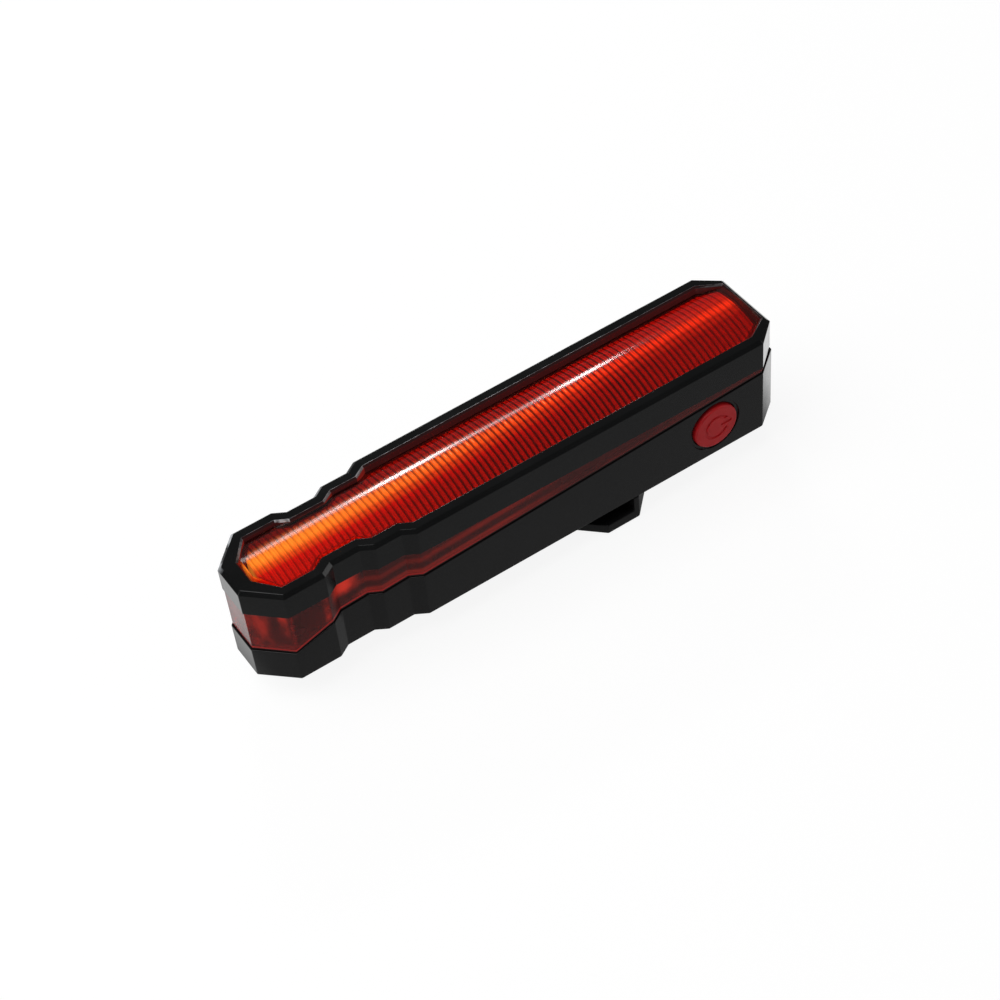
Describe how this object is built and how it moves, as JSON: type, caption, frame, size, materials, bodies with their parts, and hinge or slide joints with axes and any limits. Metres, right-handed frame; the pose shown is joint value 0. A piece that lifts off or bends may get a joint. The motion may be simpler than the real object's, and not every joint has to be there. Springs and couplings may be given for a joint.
{
  "type": "bicycle tail light",
  "caption": "Slim rechargeable rear bicycle light with a long ribbed red lens, a waisted nose with lane lasers, a side power button and a hook clip underneath.",
  "frame": {"origin": "centre of the outer face of the mounting clip, which is the lowest face of the light", "axes": "+X along the light from the laser nose to the tail end, +Y to the side with the charging socket, +Z out of the lens; the power button is on the -Y side"},
  "size_m": [0.1005, 0.0202, 0.0261],
  "materials": {
    "case_plastic": "satin black moulded",
    "bezel_plastic": "satin black moulded, smoother than the case",
    "clip_plastic": "satin black moulded",
    "gasket_rubber": "matt dark red silicone",
    "lens_red": "polished translucent red",
    "guide_red": "ribbed translucent red",
    "reflector_white": "matt white moulded",
    "screw_steel": "dark zinc plated",
    "board_laminate": "green solder mask on glass laminate",
    "lamp_package": "moulded lamp package with clear fill",
    "lamp_green": "clear fill",
    "chip_resin": "moulded black resin",
    "chip_ceramic": "tan ceramic with tinned ends",
    "battery_foil": "embossed foil pouch",
    "foam_pad": "matt foam",
    "lead_insulation": "smooth insulation",
    "button_rubber": "satin red silicone",
    "seal_rubber": "matt black silicone",
    "switch_resin": "moulded resin",
    "plunger_resin": "moulded resin",
    "socket_steel": "drawn shell, nickel plated",
    "tongue_resin": "moulded resin",
    "cover_rubber": "matt black rubber",
    "holder_plastic": "moulded black",
    "barrel_brass": "turned",
    "optic_glass": "polished",
    "diode_can": "plated can"
  },
  "bodies": {
    "housing": {"rear_case": "case_plastic", "case_gasket": "gasket_rubber", "lens": "lens_red", "bezel": "bezel_plastic", "light_guide": "guide_red", "reflector": "reflector_white", "mount_clip": "clip_plastic", "case_screws": "screw_steel", "clip_screws": "screw_steel", "board_screws": "screw_steel", "main_board": "board_laminate", "red_leds": "lamp_package", "charge_led": "lamp_green", "controller_chip": "chip_resin", "charger_chip": "chip_resin", "board_passives": "chip_ceramic", "battery": "battery_foil", "battery_pad": "foam_pad", "battery_leads": "lead_insulation", "button_seal": "seal_rubber", "switch_body": "switch_resin", "socket_shell": "socket_steel", "socket_tongue": "tongue_resin", "laser_holder": "holder_plastic", "laser_leads": "lead_insulation", "laser_barrel_left": "barrel_brass", "laser_barrel_right": "barrel_brass", "laser_optic_left": "optic_glass", "laser_optic_right": "optic_glass", "laser_diode_left": "diode_can", "laser_diode_right": "diode_can"},
    "power_button": {"power_button": "button_rubber", "switch_plunger": "plunger_resin"},
    "socket_cover": {"socket_cover": "cover_rubber"}
  },
  "joints": [
    {"name": "button_press", "type": "slide", "parent": "housing", "child": "power_button", "axis": [0, 1, 0], "range_m": [0, 0.0005], "stiffness_N_per_m": 4000},
    {"name": "cover_hinge", "type": "hinge", "parent": "housing", "child": "socket_cover", "pos_m": [0.012, 0.00929, 0.00942], "axis": [-1, 0, 0], "range_deg": [0, 100]}
  ]
}
